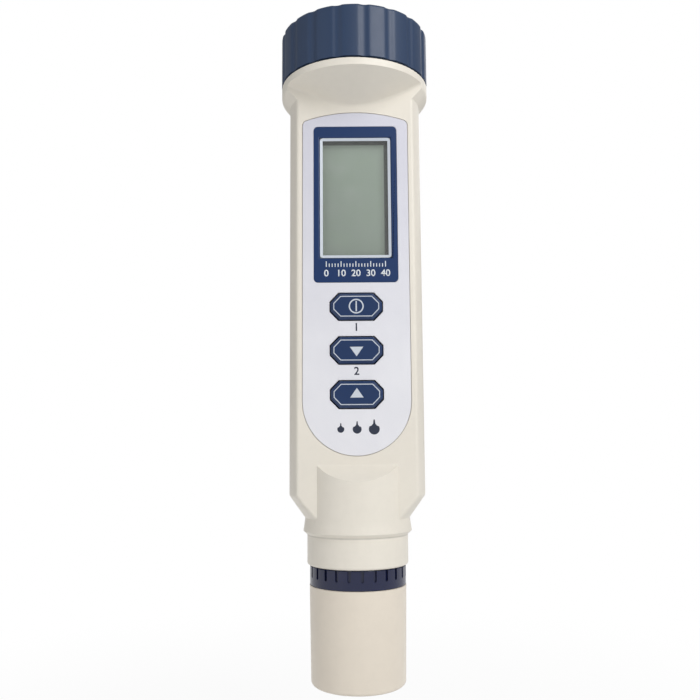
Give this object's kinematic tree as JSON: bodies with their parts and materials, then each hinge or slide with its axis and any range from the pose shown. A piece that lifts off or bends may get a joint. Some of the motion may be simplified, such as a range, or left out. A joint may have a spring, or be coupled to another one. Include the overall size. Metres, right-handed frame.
{
  "type": "portable salinity meter",
  "caption": "Pen-shaped water salinity meter with a screw battery cap, display, pad of keys, and an electrode clamped by a ring under a push-on cap.",
  "frame": {"origin": "centre of the sensor cap's flat base, on the pen's axis", "axes": "+Z along the pen from the sensor cap to the battery cap, display and keys face -Y, +X to the right of someone facing the display"},
  "size_m": [0.0406, 0.0406, 0.175],
  "materials": {
    "case_plastic": "cream moulded plastic, satin",
    "sleeve_plastic": "slightly warmer cream moulded plastic, satin",
    "cap_plastic": "slate blue moulded plastic, semi-matte",
    "ring_plastic": "very dark navy moulded plastic, glossy",
    "panel_plastic": "pale silver-lavender printed face plate, satin",
    "frame_plastic": "navy face plate round the window, satin",
    "key_plastic": "navy moulded keys with a fine silver line",
    "lens_clear": "clear window",
    "display": "grey-green liquid crystal display, blank",
    "reflector_film": "grey reflecting film",
    "white_plastic": "plain white moulded plastic",
    "black_plastic": "plain black moulded plastic",
    "black_rubber": "black rubber",
    "board": "green glass-epoxy board",
    "steel": "plain steel",
    "cell_steel": "bright nickel-plated steel",
    "gold_contacts": "gold-plated brass"
  },
  "bodies": {
    "case": {"barrel": "case_plastic", "electrode_collar": "case_plastic", "front_panel": "panel_plastic", "window_frame": "frame_plastic", "window_lens": "lens_clear", "display_glass": "display", "reflector": "reflector_film", "display_frame": "white_plastic", "battery_holder": "white_plastic", "chassis": "white_plastic", "electrode_socket": "black_plastic", "switch_bodies": "black_plastic", "processor": "black_plastic", "cap_seal": "black_rubber", "collar_seal": "black_rubber", "flange_seal": "black_rubber", "key_seal": "black_rubber", "zebra_strips": "black_rubber", "circuit_board": "board", "board_screws": "steel", "holder_screws": "steel", "cell_springs": "steel", "cell_contacts": "steel", "crystal": "steel", "chip_parts": "steel", "button_cells": "cell_steel", "socket_contacts": "gold_contacts"},
    "bridge": {"bridge_disc": "steel"},
    "battery_cap": {"battery_cap": "cap_plastic", "contact_spring": "steel"},
    "electrode": {"electrode_body": "black_plastic", "sensing_pins": "steel", "thermistor_tip": "steel", "contact_pins": "gold_contacts", "plug_seal": "black_rubber"},
    "ring": {"lock_ring": "ring_plastic", "sleeve_seal": "black_rubber"},
    "sensor_cap": {"sensor_cap": "sleeve_plastic"},
    "key_power": {"key_power": "key_plastic", "plunger_power": "black_plastic"},
    "key_down": {"key_down": "key_plastic", "plunger_down": "black_plastic"},
    "key_up": {"key_up": "key_plastic", "plunger_up": "black_plastic"}
  },
  "joints": [
    {"name": "cap_lift", "type": "slide", "parent": "case", "child": "bridge", "axis": [0, 0, 1], "range_m": [0, 0.00705]},
    {"name": "cap_turn", "type": "hinge", "parent": "bridge", "child": "battery_cap", "pos_m": [0, 0, 0.1606], "axis": [0, 0, 1], "range_deg": [0, 840]},
    {"name": "electrode_drop", "type": "slide", "parent": "case", "child": "electrode", "axis": [0, 0, -1], "range_m": [0, 0.00605]},
    {"name": "ring_turn", "type": "hinge", "parent": "electrode", "child": "ring", "pos_m": [0, 0, 0.0275], "axis": [0, 0, -1], "range_deg": [0, 1080]},
    {"name": "sensor_cap_pull", "type": "slide", "parent": "ring", "child": "sensor_cap", "axis": [0, 0, -1], "range_m": [0, 0.022]},
    {"name": "power_press", "type": "slide", "parent": "case", "child": "key_power", "axis": [0, 1, 0], "range_m": [0, 0.0004], "stiffness_N_per_m": 1500},
    {"name": "down_press", "type": "slide", "parent": "case", "child": "key_down", "axis": [0, 1, 0], "range_m": [0, 0.0004], "stiffness_N_per_m": 1500},
    {"name": "up_press", "type": "slide", "parent": "case", "child": "key_up", "axis": [0, 1, 0], "range_m": [0, 0.0004], "stiffness_N_per_m": 1500}
  ],
  "couplings": [
    {"joint": "cap_lift", "follows": "cap_turn", "m_per_rad": 0.00047746},
    {"joint": "electrode_drop", "follows": "ring_turn", "m_per_rad": 0.00031831}
  ]
}
